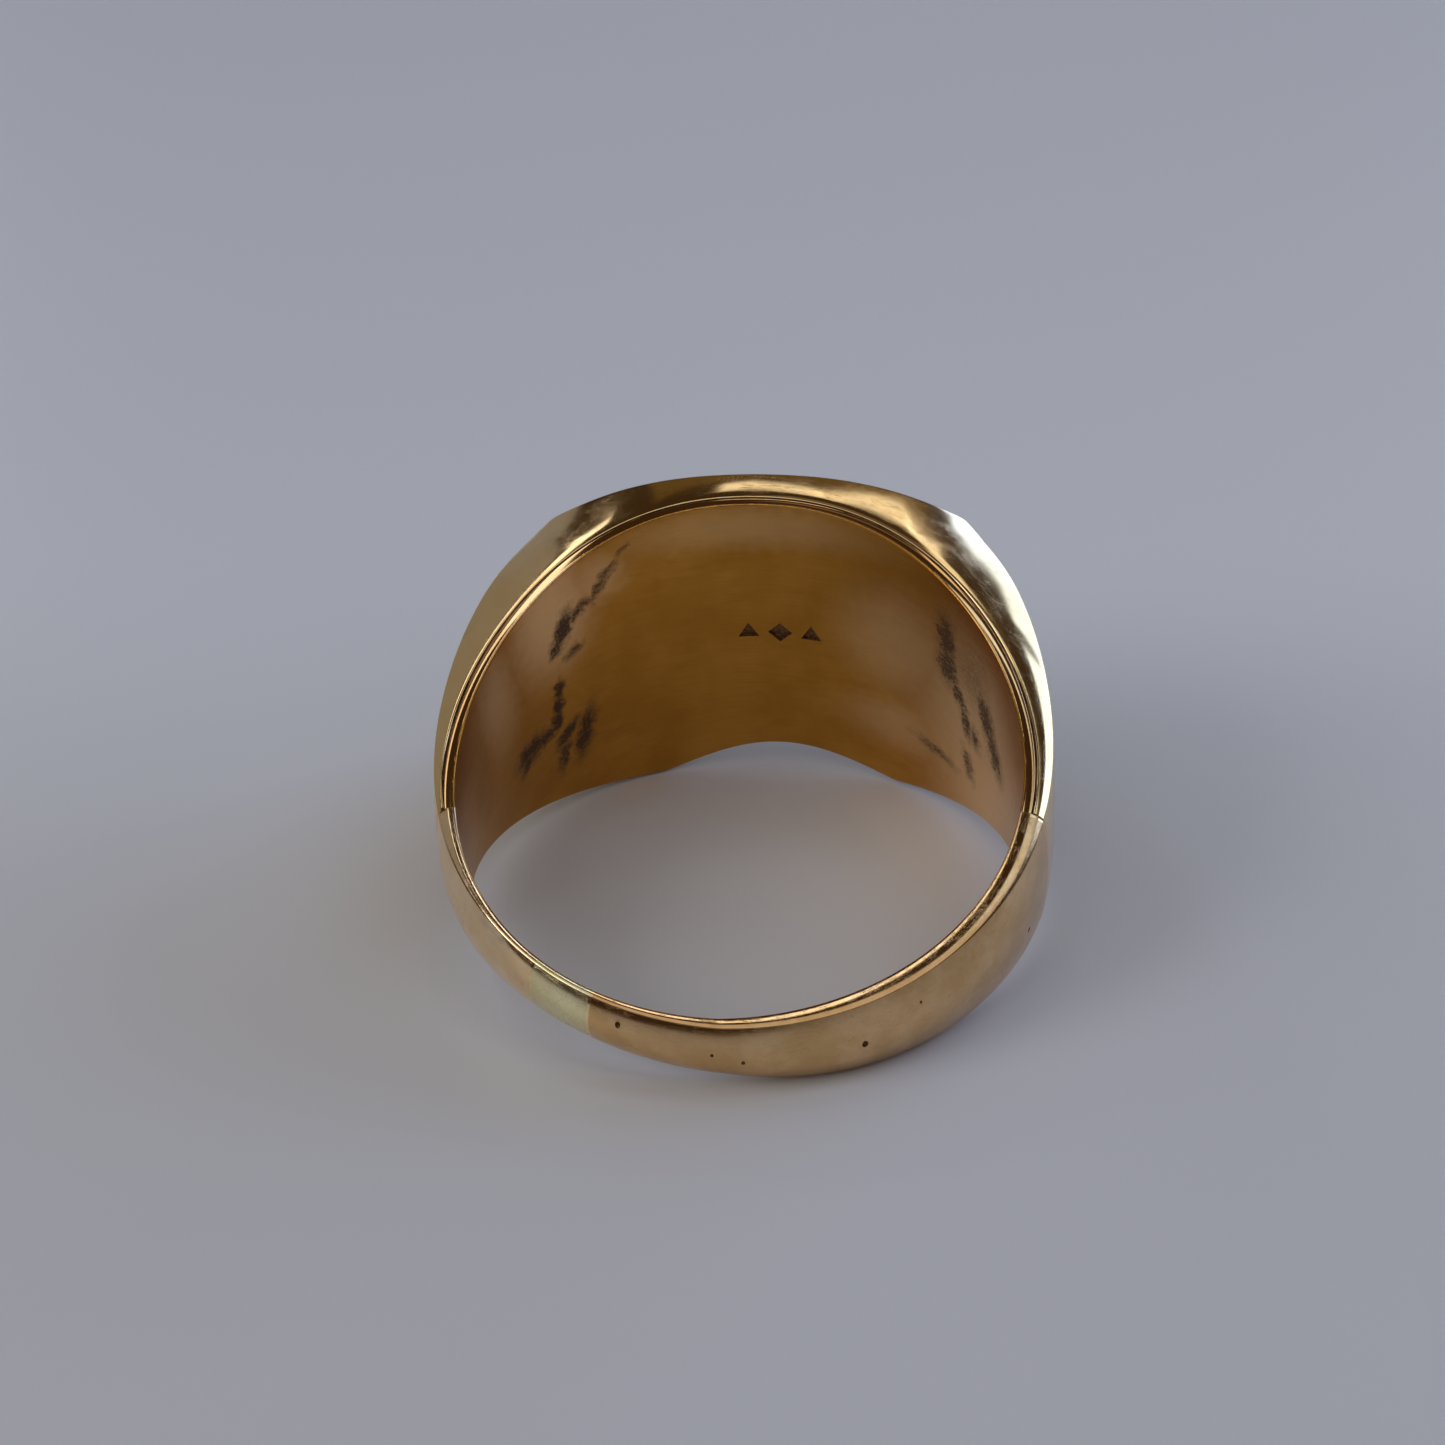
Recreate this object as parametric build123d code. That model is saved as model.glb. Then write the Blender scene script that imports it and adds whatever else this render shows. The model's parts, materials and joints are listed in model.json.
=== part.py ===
"""Gold signet ring with a hollow struck head, a soldered back plate and a sized shank.

Units are millimetres. The ring is first built around its own finger axis: Z runs
through the finger hole, +Y points from the back of the shank to the signet table,
and an angle is measured around the finger from the middle of the table, positive
towards +X. The finished ring is then laid down as it rests on a bench, on the two
feet of the head and the lower edge of the shank, with +Z up.
"""

import os
from math import cos, degrees, exp, pi, radians, sin, tan

from build123d import *

# finger hole and signet table
BORE_R = 9.9
TABLE_Y = 12.11
HEAD_END = 100.0

# half of the ring's width along the finger, from the head to the back of the shank
HEAD_HALF_WIDTH = 6.70
BACK_HALF_WIDTH = 1.01
TAPER_ANGLE = 75.1
TAPER_POWER = 2.66

# shallow arch that lifts the middle of the head's lower rim between two feet
ARCH_DEPTH = 1.15
ARCH_ANGLE = 3.75
ARCH_SPAN = 27.9

# thickness of the shank, and the swell that turns it into shoulders
SHANK_T = 1.03
SHOULDER_SWELL = 5.45
SHOULDER_ANGLE = 47.8
SHOULDER_POWER = 2.165

# wear on both sides of the sizing seam, and the fuller metal left beside it
THIN_ANGLE = -145.0
THIN_SPAN = 58.0
THIN_T = 0.37
WEAR_ANGLE = -130.7
WEAR_SPAN = 45.8
WEAR_NEAR = 0.12
WEAR_FAR = 1.09
FULL_ANGLE = 153.0
FULL_SPAN = 36.8
FULL_T = 0.10
FULL_FAR = 0.20
BACK_ANGLE = 180.0
BACK_SPAN = 60.0
BACK_TRIM = 0.21

# polished rim around the finger hole, narrower on the shank than on the head
HEAD_RIM = 0.70
RIM_DROP = 0.04
FACE_T = 0.45
SHANK_RIM_LEAST = 0.18
RIM_BLEND = (60.0, 105.0)

# slope of the cheek outside the rim, in degrees below the rim's own plane
TABLE_SLOPE = 11.8
SIDE_SLOPE = 20.0
SIDE_ANGLE = 80.0
SIDE_POWER = 1.3
CORNER_SLOPE = 8.8
CORNER_ANGLE = 36.6
CORNER_SPAN = 13.5
STEEPEST_SLOPE = 44.0

# low dome of the shank's outer face, which the flat-sided head does not have
FACE_DOME = 0.42
DOME_BLEND = (60.0, 140.0)

# hollow struck head and its back plate
LINER_T = 0.40
SOLDER_T = 0.10
SOLDER_DEPTH = 0.75
SOLDER_SET_BACK = 0.08
CAVITY_END = 58.0
TABLE_WALL = 0.80
CREST_WALL = 0.90
RIM_WALL = 0.90

# sizing insert in the shank, and the solder seams across the band
INSERT_START = -154.5
INSERT_END = -141.5
SEAM_ANGLE = 0.66

# generic punch mark inside the head: a lozenge between two triangles
MARK_ANGLE = 4.8
MARK_Z = 0.4
MARK_PITCH = 1.2
MARK_SIZE = 0.6
MARK_DEPTH = 0.12

SECTION_STEP = 6.0


def short_way(angle):
    """The same angle, measured the short way round from the head."""
    return (angle + 180.0) % 360.0 - 180.0


def hump(angle, centre, span):
    """Bell shape around the finger that is 1 at the centre angle."""
    return exp(-((short_way(angle - centre) / span) ** 2))


def half_width(angle):
    """Half of the width along the finger, before wear."""
    taper = 1.0 + (abs(angle) / TAPER_ANGLE) ** TAPER_POWER
    return BACK_HALF_WIDTH + (HEAD_HALF_WIDTH - BACK_HALF_WIDTH) / taper


def near_edge(angle):
    """Height of the upper rim above the middle of the head."""
    return half_width(angle) - WEAR_NEAR * hump(angle, WEAR_ANGLE, WEAR_SPAN)


def far_edge(angle):
    """Depth of the lower rim below the middle of the head, with its arch."""
    turn = max(-1.0, min(1.0, (angle - ARCH_ANGLE) / ARCH_SPAN))
    edge = half_width(angle) - ARCH_DEPTH * cos(turn * pi / 2.0) ** 1.2
    edge -= WEAR_FAR * hump(angle, WEAR_ANGLE, WEAR_SPAN)
    edge -= BACK_TRIM * hump(angle, BACK_ANGLE, BACK_SPAN)
    return edge + FULL_FAR * hump(angle, FULL_ANGLE, FULL_SPAN)


def thickness(angle):
    """Thickness of the shank, before the shoulders swell."""
    thin = THIN_T * hump(angle, THIN_ANGLE, THIN_SPAN)
    return SHANK_T - thin + FULL_T * hump(angle, FULL_ANGLE, FULL_SPAN)


def crest_radius(angle):
    """Radius of the outer crest around the finger, before the table is cut flat."""
    shoulder = exp(-((abs(angle) / SHOULDER_ANGLE) ** SHOULDER_POWER))
    return BORE_R + thickness(angle) + SHOULDER_SWELL * shoulder


def blend(angle, ends):
    """Smooth change from 0 to 1 as the angle from the head runs between two ends."""
    share = max(0.0, min(1.0, (abs(angle) - ends[0]) / (ends[1] - ends[0])))
    return share * share * (3.0 - 2.0 * share)


def rim_width(angle):
    """Width of the polished rim beside the finger hole."""
    shank_rim = max(SHANK_RIM_LEAST, thickness(angle) - FACE_T)
    return HEAD_RIM + (shank_rim - HEAD_RIM) * blend(angle, RIM_BLEND)


def cheek_slope(angle):
    """Tangent of the cheek's slope below the plane of the rim."""
    slope = TABLE_SLOPE + SIDE_SLOPE * (abs(angle) / SIDE_ANGLE) ** SIDE_POWER
    slope += CORNER_SLOPE * exp(-(((abs(angle) - CORNER_ANGLE) / CORNER_SPAN) ** 2))
    return tan(radians(min(STEEPEST_SLOPE, slope)))


def rim_profile(angle):
    """(radius, drop) points from the finger hole over the rim and cheek to the crest."""
    rim = BORE_R + rim_width(angle)
    crest = crest_radius(angle)
    shoulder = crest - FACE_DOME * blend(angle, DOME_BLEND)
    drop = RIM_DROP + (shoulder - rim) * cheek_slope(angle)
    middle = (near_edge(angle) + far_edge(angle)) / 2.0
    return [
        (BORE_R - 1.0, 0.0),
        (rim, RIM_DROP),
        (shoulder, drop),
        (crest - (crest - shoulder) / 4.0, (drop + middle) / 2.0),
        (crest, middle),
    ]


def section(angle):
    """Closed outline of the ring's metal in the half plane at this angle."""
    profile = rim_profile(angle)
    raised = [(r, near_edge(angle) - drop) for r, drop in profile]
    lowered = [(r, drop - far_edge(angle)) for r, drop in reversed(profile)]
    return raised + lowered[1:]


def cavity_section(angle):
    """Outline of the hollow between the struck shell and its back plate."""
    top = near_edge(angle) - RIM_WALL
    bottom = far_edge(angle) - RIM_WALL
    shoulder, drop = rim_profile(angle)[2]
    inner = BORE_R + LINER_T - 0.1
    outer = shoulder - CREST_WALL
    return [(inner, top), (outer, top - drop), (outer, drop - bottom), (inner, -bottom)]


def solder_section(angle, side):
    """Outline of the solder fillet between back plate and shell, near one rim."""
    edge = near_edge(angle) if side > 0 else far_edge(angle)
    low, high = sorted((side * (edge - SOLDER_SET_BACK), side * (edge - SOLDER_DEPTH)))
    inner = BORE_R + LINER_T
    outer = inner + SOLDER_T
    return [(inner, high), (outer, high), (outer, low), (inner, low)]


def loft_between(outline, start, end):
    """Loft an outline around the finger from one angle to another."""
    steps = max(1, round((end - start) / SECTION_STEP))
    wires = []
    for step in range(steps + 1):
        angle = short_way(start + (end - start) * step / steps)
        across = sin(radians(angle))
        along = cos(radians(angle))
        wires.append(Wire.make_polygon([(r * across, r * along, z) for r, z in outline(angle)]))
    return Solid.make_loft(wires)


def drum(radius):
    """Round bar on the finger axis, longer than the ring is wide."""
    return Cylinder(radius, 4.0 * HEAD_HALF_WIDTH)


def layer(blank, inner, outer):
    """The part of a blank that lies between two radii from the finger axis."""
    return (blank - drum(inner)) & drum(outer)


def band_piece(start, end):
    """A length of shank between two angles, with the finger hole cut through it."""
    return loft_between(section, start, end) - drum(BORE_R)


def solder_fillet(side):
    """Thin solder joint that runs along one rim, behind the back plate."""
    return loft_between(lambda angle: solder_section(angle, side), -HEAD_END, HEAD_END)


def punch_marks():
    """Cutters for the lozenge and its two triangles, on the back plate's inner face."""
    cutters = []
    for place, sides in ((-1, 3), (0, 4), (1, 3)):
        angle = MARK_ANGLE + degrees(place * MARK_PITCH / BORE_R)
        across = sin(radians(angle))
        along = cos(radians(angle))
        depth = BORE_R + MARK_DEPTH
        face = Plane((depth * across, depth * along, MARK_Z), x_dir=(0, 0, 1), z_dir=(-across, -along, 0))
        cutters.append(extrude(face * RegularPolygon(MARK_SIZE, sides), 3.0 * MARK_DEPTH))
    return cutters


def lowest(angles, tilt):
    """Lowest point of the sections at these angles, once the ring is tilted."""
    rise = sin(tilt)
    drop = cos(tilt)
    return min(
        max(r, BORE_R) * cos(radians(angle)) * rise + z * drop
        for angle in angles
        for r, z in section(angle)
    )


def resting_tilt():
    """Tilt at which the feet of the head and the shank touch the bench together."""
    low, high = 0.0, pi / 4.0
    for _ in range(40):
        tilt = (low + high) / 2.0
        if lowest(range(-60, 61), tilt) < lowest(range(120, 241), tilt):
            low = tilt
        else:
            high = tilt
    return degrees(tilt)


head_blank = loft_between(section, -HEAD_END, HEAD_END)
table_cut = Pos(0, TABLE_Y + BORE_R, 0) * Box(4 * BORE_R, 2 * BORE_R, 4 * BORE_R)
cavity_limit = Pos(0, TABLE_Y - TABLE_WALL + BORE_R, 0) * Box(4 * BORE_R, 2 * BORE_R, 4 * BORE_R)
cavity = loft_between(cavity_section, -CAVITY_END, CAVITY_END) - cavity_limit

pieces = {
    "signet_head": head_blank - table_cut - drum(BORE_R + LINER_T + SOLDER_T) - cavity,
    "head_liner": layer(head_blank, BORE_R, BORE_R + LINER_T) - punch_marks(),
    "liner_solder_near": solder_fillet(1),
    "liner_solder_far": solder_fillet(-1),
    "head_solder_left": band_piece(-HEAD_END - SEAM_ANGLE, -HEAD_END),
    "shank_arm_left": band_piece(INSERT_END + SEAM_ANGLE, -HEAD_END - SEAM_ANGLE),
    "sizing_solder_left": band_piece(INSERT_END, INSERT_END + SEAM_ANGLE),
    "sizing_insert": band_piece(INSERT_START, INSERT_END),
    "sizing_solder_right": band_piece(INSERT_START - SEAM_ANGLE, INSERT_START),
    "shank_arm_right": band_piece(HEAD_END + SEAM_ANGLE, 360.0 + INSERT_START - SEAM_ANGLE),
    "head_solder_right": band_piece(HEAD_END, HEAD_END + SEAM_ANGLE),
}

tilt = resting_tilt()
tilted = {name: Rot(X=tilt) * piece for name, piece in pieces.items()}
boxes = [piece.bounding_box() for piece in tilted.values()]
middle_x = (min(box.min.X for box in boxes) + max(box.max.X for box in boxes)) / 2.0
middle_y = (min(box.min.Y for box in boxes) + max(box.max.Y for box in boxes)) / 2.0
bench = min(box.min.Z for box in boxes)

os.makedirs("parts", exist_ok=True)
for name, piece in tilted.items():
    export_step(Pos(-middle_x, -middle_y, -bench) * piece, f"parts/{name}.step")
print(f"finger axis through ({-middle_x:.3f}, {-middle_y:.3f}, {-bench:.3f}), tilted {tilt:.3f} degrees")
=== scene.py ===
import json
from math import atan, atan2, cos, degrees, exp, log, pi, radians, sin, tan

import bmesh
import bpy
from mathutils import Matrix, Vector


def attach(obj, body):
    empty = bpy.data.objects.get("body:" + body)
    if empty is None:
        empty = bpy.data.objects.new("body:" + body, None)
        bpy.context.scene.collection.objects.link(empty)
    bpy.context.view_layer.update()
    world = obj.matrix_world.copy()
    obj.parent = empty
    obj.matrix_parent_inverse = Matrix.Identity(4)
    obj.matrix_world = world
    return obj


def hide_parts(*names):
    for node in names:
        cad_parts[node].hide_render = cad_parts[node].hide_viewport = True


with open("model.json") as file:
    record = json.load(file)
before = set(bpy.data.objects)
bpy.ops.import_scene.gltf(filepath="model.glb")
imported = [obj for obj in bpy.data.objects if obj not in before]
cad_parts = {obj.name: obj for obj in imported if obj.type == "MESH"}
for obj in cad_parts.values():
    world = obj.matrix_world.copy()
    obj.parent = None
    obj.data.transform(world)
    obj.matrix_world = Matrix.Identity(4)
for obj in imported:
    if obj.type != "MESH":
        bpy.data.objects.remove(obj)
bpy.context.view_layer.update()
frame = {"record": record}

# ---------------------------------------------------------------------------
# Struck head. The front of the ring is one hollow stamping of ten karat gold: a flat
# table, a cheek all round it and a polished roll round the finger hole. It is struck in
# a die, then filed and buffed, so its flats are a little soft and its edges rubbed round.
# ---------------------------------------------------------------------------
MM = 0.001
mounts = {mount["name"]: mount for mount in frame["record"]["mounts"]}
hole_way = Vector(mounts["finger_bore"]["axis"]).normalized()
table_way = Vector(mounts["signet_table"]["axis"]).normalized()
hole_middle = Vector(mounts["finger_bore"]["pos_m"])
table_middle = Vector(mounts["signet_table"]["pos_m"])
ring_place = Matrix((table_way.cross(hole_way), table_way, hole_way)).transposed().to_4x4()
ring_place.translation = hole_middle

# millimetres and degrees from here on; an angle round the finger is 0 at the table
BORE = mounts["finger_bore"]["dims"]["r_mm"]
TABLE = (table_middle - hole_middle).dot(table_way) / MM
HEAD_END = 100.0

# half the ring's width, the arch under the head, and the wear beside the sizing piece
HEAD_HALF_WIDTH = 6.70
BACK_HALF_WIDTH = 1.01
TAPER_ANGLE, TAPER_POWER = 75.1, 2.66
ARCH_DEPTH, ARCH_ANGLE, ARCH_SPAN = 1.15, 3.75, 27.9
WEAR_ANGLE, WEAR_SPAN, WEAR_NEAR, WEAR_FAR = -130.7, 45.8, 0.12, 1.09
BACK_ANGLE, BACK_SPAN, BACK_TRIM = 180.0, 60.0, 0.21
FULL_ANGLE, FULL_SPAN, FULL_FAR, FULL_T = 153.0, 36.8, 0.20, 0.10

# thickness of the band, the swell of the shoulders and the flat of the table
SHANK_T = 1.015
THIN_ANGLE, THIN_SPAN, THIN_T = -145.0, 58.0, 0.37
SHOULDER_SWELL, SHOULDER_ANGLE, SHOULDER_POWER = 5.45, 47.8, 2.165
TABLE_REACH = 75.0
TABLE_SOFTNESS = 0.10

# polished roll beside the finger hole, and the cheek outside it
HEAD_RIM = 0.84
LEAST_RIM = 0.18
RIM_DROP = 0.04
FACE_T = 0.45
RIM_BLEND = (60.0, 105.0)
TABLE_SLOPE, SIDE_SLOPE, SIDE_ANGLE, SIDE_POWER = 11.8, 20.0, 80.0, 1.3
CORNER_SLOPE, CORNER_ANGLE, CORNER_SPAN = 8.8, 36.6, 13.5
STEEPEST_SLOPE = 44.0
ROLL_END, ROLL_END_BAND, ROLL_SHARE = 21.0, 7.0, 0.80
CHEEK_START, CHEEK_START_BAND, CHEEK_SHARE = 25.0, 9.0, 0.90
EASY_REACH = 0.45
INNER_ROUND = 0.07
INNER_SLOPE = -50.0
FACE_DOME = 0.42
DOME_BLEND = (60.0, 140.0)
EDGE_ROUND = 0.26

# the groove for the solder, and the hollow behind the table
LINER_T = 0.40
SOLDER_T = 0.10
GROOVE_FADE = (84.0, 99.0)
WALL_T = 0.90
CAVITY_END = 58.0
CAVITY_FADE = 12.0


def short_way(angle):
    """An angle round the finger, measured the short way from the middle of the head."""
    return (angle + 180.0) % 360.0 - 180.0


def hump(angle, centre, span):
    """Bell shape round the finger that is 1 at the centre angle."""
    return exp(-((short_way(angle - centre) / span) ** 2))


def ease(value, low, high):
    """0 below low, 1 above high, smooth between."""
    share = max(0.0, min(1.0, (value - low) / (high - low)))
    return share * share * (3.0 - 2.0 * share)


def half_width(angle):
    """Half the ring's width along the finger, before wear."""
    taper = 1.0 + (abs(angle) / TAPER_ANGLE) ** TAPER_POWER
    return BACK_HALF_WIDTH + (HEAD_HALF_WIDTH - BACK_HALF_WIDTH) / taper


def near_edge(angle):
    """Height of the upper rim, worn down beside the sizing piece."""
    return half_width(angle) - WEAR_NEAR * hump(angle, WEAR_ANGLE, WEAR_SPAN)


def far_edge(angle):
    """Depth of the lower rim, arched under the head and worn at the back."""
    turn = max(-1.0, min(1.0, (angle - ARCH_ANGLE) / ARCH_SPAN))
    edge = half_width(angle) - ARCH_DEPTH * cos(turn * pi / 2.0) ** 1.2
    worn = WEAR_FAR * hump(angle, WEAR_ANGLE, WEAR_SPAN)
    edge -= worn + BACK_TRIM * hump(angle, BACK_ANGLE, BACK_SPAN)
    return edge + FULL_FAR * hump(angle, FULL_ANGLE, FULL_SPAN)


def thickness(angle):
    """Thickness of the band, before the shoulders swell."""
    thin = THIN_T * hump(angle, THIN_ANGLE, THIN_SPAN)
    return SHANK_T - thin + FULL_T * hump(angle, FULL_ANGLE, FULL_SPAN)


def crest(angle):
    """How far the outermost metal stands off the finger: the shoulder, or the table's plane."""
    swell = exp(-((abs(angle) / SHOULDER_ANGLE) ** SHOULDER_POWER))
    shoulder = thickness(angle) + SHOULDER_SWELL * swell
    if abs(angle) > TABLE_REACH:
        return shoulder
    plane = TABLE / cos(radians(angle)) - BORE
    low = min(shoulder, plane)
    overlap = exp((low - shoulder) / TABLE_SOFTNESS) + exp((low - plane) / TABLE_SOFTNESS)
    return low - TABLE_SOFTNESS * log(overlap)


def rim_width(angle):
    """Width of the polished roll beside the finger hole."""
    shank_rim = max(LEAST_RIM, thickness(angle) - FACE_T)
    return HEAD_RIM + (shank_rim - HEAD_RIM) * ease(abs(angle), *RIM_BLEND)


def cheek_slope(angle):
    """Slope in degrees of the straight line from the rim to the edge of the table."""
    slope = TABLE_SLOPE + SIDE_SLOPE * (abs(angle) / SIDE_ANGLE) ** SIDE_POWER
    corner = exp(-(((abs(angle) - CORNER_ANGLE) / CORNER_SPAN) ** 2))
    return min(STEEPEST_SLOPE, slope + CORNER_SLOPE * corner)


def walk(start, stops, steps):
    """Points (off, drop) of a surface whose slope changes evenly from stop to stop."""
    points = [start]
    off, drop = start
    slope_was = stops[0][1]
    for (to, slope), count in zip(stops[1:], steps):
        stride = (to - off) / count
        for step in range(1, count + 1):
            middle = slope_was + (slope - slope_was) * (step - 0.5) / count
            off += stride
            drop += stride * tan(radians(middle))
            points.append((off, drop))
        slope_was = slope
    return points


def rounded_corner(points, corner, leave, radius, steps):
    """Ends the walk in an arc at the corner, turned to the slope it leaves by."""
    before = points[-1]
    arrive = degrees(atan2(corner[1] - before[1], corner[0] - before[0]))
    turn = radians(leave - arrive) / 2.0
    run = min(radius * tan(turn), 0.9 * (corner[0] - before[0]) / cos(radians(arrive)))
    radius = run / tan(turn)
    off = corner[0] - run * cos(radians(arrive))
    drop = corner[1] - run * sin(radians(arrive))
    for step in range(steps + 1):
        slope = radians(arrive + (leave - arrive) * step / steps)
        points.append((
            off + radius * (sin(slope) - sin(radians(arrive))),
            drop + radius * (cos(radians(arrive)) - cos(slope)),
        ))


def outer_side(angle, groove):
    """(off the finger, drop from the rim) points over roll, cheek and edge to the crest."""
    out = crest(angle)
    rim = rim_width(angle)
    shoulder = out - FACE_DOME * ease(abs(angle), *DOME_BLEND)
    slope = cheek_slope(angle)
    middle = (near_edge(angle) + far_edge(angle)) / 2.0
    band = ease(abs(angle), *RIM_BLEND)
    roll_end = min(ROLL_END + ROLL_END_BAND * band, ROLL_SHARE * slope)
    cheek_start = min(CHEEK_START + CHEEK_START_BAND * band, CHEEK_SHARE * slope)
    easy = rim + EASY_REACH * min(1.0, (shoulder - rim) / 1.6)
    fall = (shoulder - rim) * tan(radians(slope))
    early = (easy - rim) * tan(radians((roll_end + cheek_start) / 2.0))
    cheek_end = 2.0 * degrees(atan((fall - early) / (shoulder - easy))) - cheek_start
    if groove:
        top = LINER_T + SOLDER_T
        depth = 0.2 + 0.8 * (1.0 - ease(abs(angle), *GROOVE_FADE))
        brow = top + 0.32 * (rim - top)
        start = (top - 0.035, RIM_DROP + 0.02 * depth)
        stops = [(start[0], INNER_SLOPE * depth), (top, 0.0), (brow, 0.5 * roll_end)]
    else:
        start = (0.0, RIM_DROP + 0.045)
        stops = [(0.0, INNER_SLOPE), (INNER_ROUND, 0.0), (0.6 * rim, 8.0)]
    points = walk(start, stops + [(rim, roll_end), (easy, cheek_start)], (5, 4, 6, 7))
    near = shoulder - 0.12 * (shoulder - easy)
    near_slope = cheek_start + (cheek_end - cheek_start) * 0.88
    points += walk(points[-1], [(easy, cheek_start), (near, near_slope)], (14,))[1:]
    corner = (shoulder, points[-1][1] + (shoulder - near) * tan(radians(cheek_end)))
    face_slope = 2.0 * degrees(atan2(middle - corner[1], max(0.0, out - shoulder))) - 90.0
    rounded_corner(points, corner, face_slope, EDGE_ROUND, 8)
    last = points[-1]
    for step in range(1, 11):
        share = step / 10.0
        if face_slope > 89.9:
            points.append((last[0], last[1] + (middle - last[1]) * share))
            continue
        a0 = radians(face_slope)
        a1 = a0 + (pi / 2.0 - a0) * share
        points.append((
            last[0] + (out - last[0]) * (sin(a1) - sin(a0)) / (1.0 - sin(a0)),
            last[1] + (middle - last[1]) * (cos(a0) - cos(a1)) / cos(a0),
        ))
    return points


def both_rims(angle, side):
    """One side profile stood on the upper rim and again, upside down, on the lower one."""
    raised = [(BORE + off, near_edge(angle) - drop) for off, drop in side]
    lowered = [(BORE + off, drop - far_edge(angle)) for off, drop in reversed(side)]
    return raised + lowered[1:]


SHARP_EDGE = radians(44)


def swept_piece(name, outline, start, end, step):
    """Closed mesh made by carrying an outline round the finger between two angles.

    Its "unrolled" attribute holds, in millimetres, the way round the finger, the distance
    off the finger and the height along it.
    """
    count = max(2, round((end - start) / step)) + 1
    mesh = bmesh.new()
    unrolled = mesh.verts.layers.float_vector.new("unrolled")
    rings = []
    for index in range(count):
        angle = start + (end - start) * index / (count - 1)
        across, along = sin(radians(angle)), cos(radians(angle))
        ring = []
        for r, z in outline(short_way(angle)):
            vert = mesh.verts.new(ring_place @ (Vector((r * across, r * along, z)) * MM))
            vert[unrolled] = Vector((radians(angle) * BORE, r - BORE, z))
            ring.append(vert)
        rings.append(ring)
    width = len(rings[0])
    for here, there in zip(rings, rings[1:]):
        for row in range(width):
            after = (row + 1) % width
            mesh.faces.new((here[row], there[row], there[after], here[after]))
    mesh.faces.new(rings[0])
    mesh.faces.new(list(reversed(rings[-1])))
    bmesh.ops.recalc_face_normals(mesh, faces=mesh.faces)
    data = bpy.data.meshes.new(name)
    mesh.to_mesh(data)
    mesh.free()
    data.shade_smooth()
    data.set_sharp_from_angle(angle=SHARP_EDGE)
    piece = bpy.data.objects.new(name, data)
    bpy.context.scene.collection.objects.link(piece)
    return piece


def head_outline(angle):
    """Closed outline of the stamping: round its outside, then back through its hollow."""
    side = outer_side(angle, True)
    outside = both_rims(angle, side)
    inner = BORE + LINER_T + SOLDER_T
    room = 1.0 - ease(abs(angle), CAVITY_END - CAVITY_FADE, CAVITY_END)
    out = BORE + crest(angle) - WALL_T
    deep = inner + (out - inner) * room
    high = near_edge(angle) - WALL_T
    low = far_edge(angle) - WALL_T
    drop = (deep - inner) * tan(radians(cheek_slope(angle)))
    foot = near_edge(angle) - side[0][1]
    foot_low = far_edge(angle) - side[0][1]
    hollow = [(inner, -foot_low + 0.05), (inner, -low), (deep, drop - low), (deep, high - drop)]
    return outside + hollow + [(inner, high), (inner, foot - 0.05)]


class Finish:
    """A metal or bench finish being made up. node() adds one node and hands back a Flow."""

    def __init__(self, name):
        self.material = bpy.data.materials.new(name)
        self.material.use_nodes = True
        self.tree = self.material.node_tree
        self.shader = self.tree.nodes["Principled BSDF"]

    def node(self, kind, settings=None, inputs=None, output=0):
        node = self.tree.nodes.new(kind)
        for key, value in (settings or {}).items():
            setattr(node, key, value)
        for key, value in (inputs or {}).items():
            self.join(node.inputs[key], value)
        return Flow(self, node.outputs[output])

    def join(self, socket, value):
        if isinstance(value, Flow):
            self.tree.links.new(value.socket, socket)
        else:
            socket.default_value = value

    def mix(self, share, first, second):
        """A colour between two colours."""
        return self.node("ShaderNodeMix", {"data_type": "RGBA"}, {0: share, 6: first, 7: second}, 2)

    def noise(self, place, scale, detail=3.0, roughness=0.55, warp=0.0):
        return self.node(
            "ShaderNodeTexNoise", None,
            {"Vector": place, "Scale": scale, "Detail": detail,
             "Roughness": roughness, "Distortion": warp},
        )

    def unrolled(self, stretch=(1.0, 1.0, 1.0), turn=0.0):
        """Place on the unrolled ring in millimetres, stretched and turned for a pattern."""
        place = self.node("ShaderNodeAttribute", {"attribute_name": "unrolled"}, output="Vector")
        return self.node(
            "ShaderNodeMapping", None,
            {"Vector": place, "Rotation": (0.0, radians(turn), 0.0), "Scale": stretch},
        )

    def patch(self, place, angle, height, length, width, lean):
        """Distance from the middle of a patch on the finger wall, 1 at its rim."""
        inside = self.node(
            "ShaderNodeMapping", {"vector_type": "TEXTURE"},
            {"Vector": place, "Location": (radians(angle) * BORE, 0.0, height),
             "Rotation": (0.0, radians(lean), 0.0), "Scale": (length, 4.0, width)},
        )
        return self.node("ShaderNodeVectorMath", {"operation": "LENGTH"}, {0: inside}, "Value")

    def set(self, **values):
        for key, value in values.items():
            self.join(self.shader.inputs[key.replace("_", " ")], value)

    def bump(self, height, distance, strength=1.0):
        """Relief so many millimetres deep."""
        relief = {"Height": height, "Distance": distance * MM, "Strength": strength}
        self.set(Normal=self.node("ShaderNodeBump", None, relief))


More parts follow.
